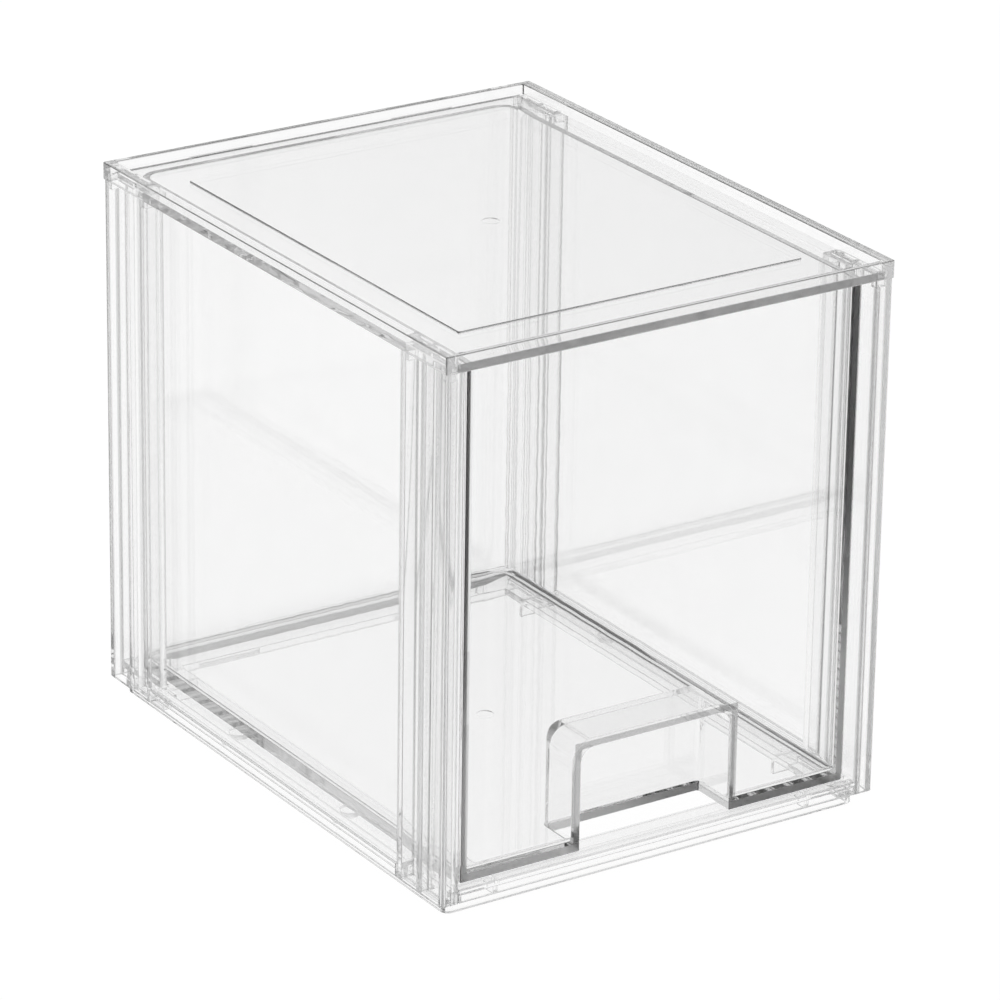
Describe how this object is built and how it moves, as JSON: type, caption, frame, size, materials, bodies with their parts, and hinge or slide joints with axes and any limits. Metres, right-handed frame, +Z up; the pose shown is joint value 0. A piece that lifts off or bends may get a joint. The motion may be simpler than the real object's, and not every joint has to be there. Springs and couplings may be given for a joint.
{
  "type": "stackable drawer box",
  "caption": "Clear plastic box with hollow stepped corner columns, a stacking rim on top, an inset foot ring below and a slide-out drawer with a finger pocket.",
  "frame": {"origin": "middle of the footprint, on the surface the box stands on", "axes": "+X to the right across the front, +Y from the front to the back, +Z up"},
  "size_m": [0.17, 0.213, 0.192],
  "materials": {
    "clear_plastic": "clear moulded polystyrene, polished on every face"
  },
  "bodies": {
    "case": {"top_panel": "clear_plastic", "base_frame": "clear_plastic", "left_side_panel": "clear_plastic", "right_side_panel": "clear_plastic", "back_panel": "clear_plastic"},
    "drawer_body": {"drawer": "clear_plastic"}
  },
  "joints": [
    {"name": "drawer_slide", "type": "slide", "parent": "case", "child": "drawer_body", "axis": [0, -1, 0], "range_m": [0, 0.15]}
  ]
}
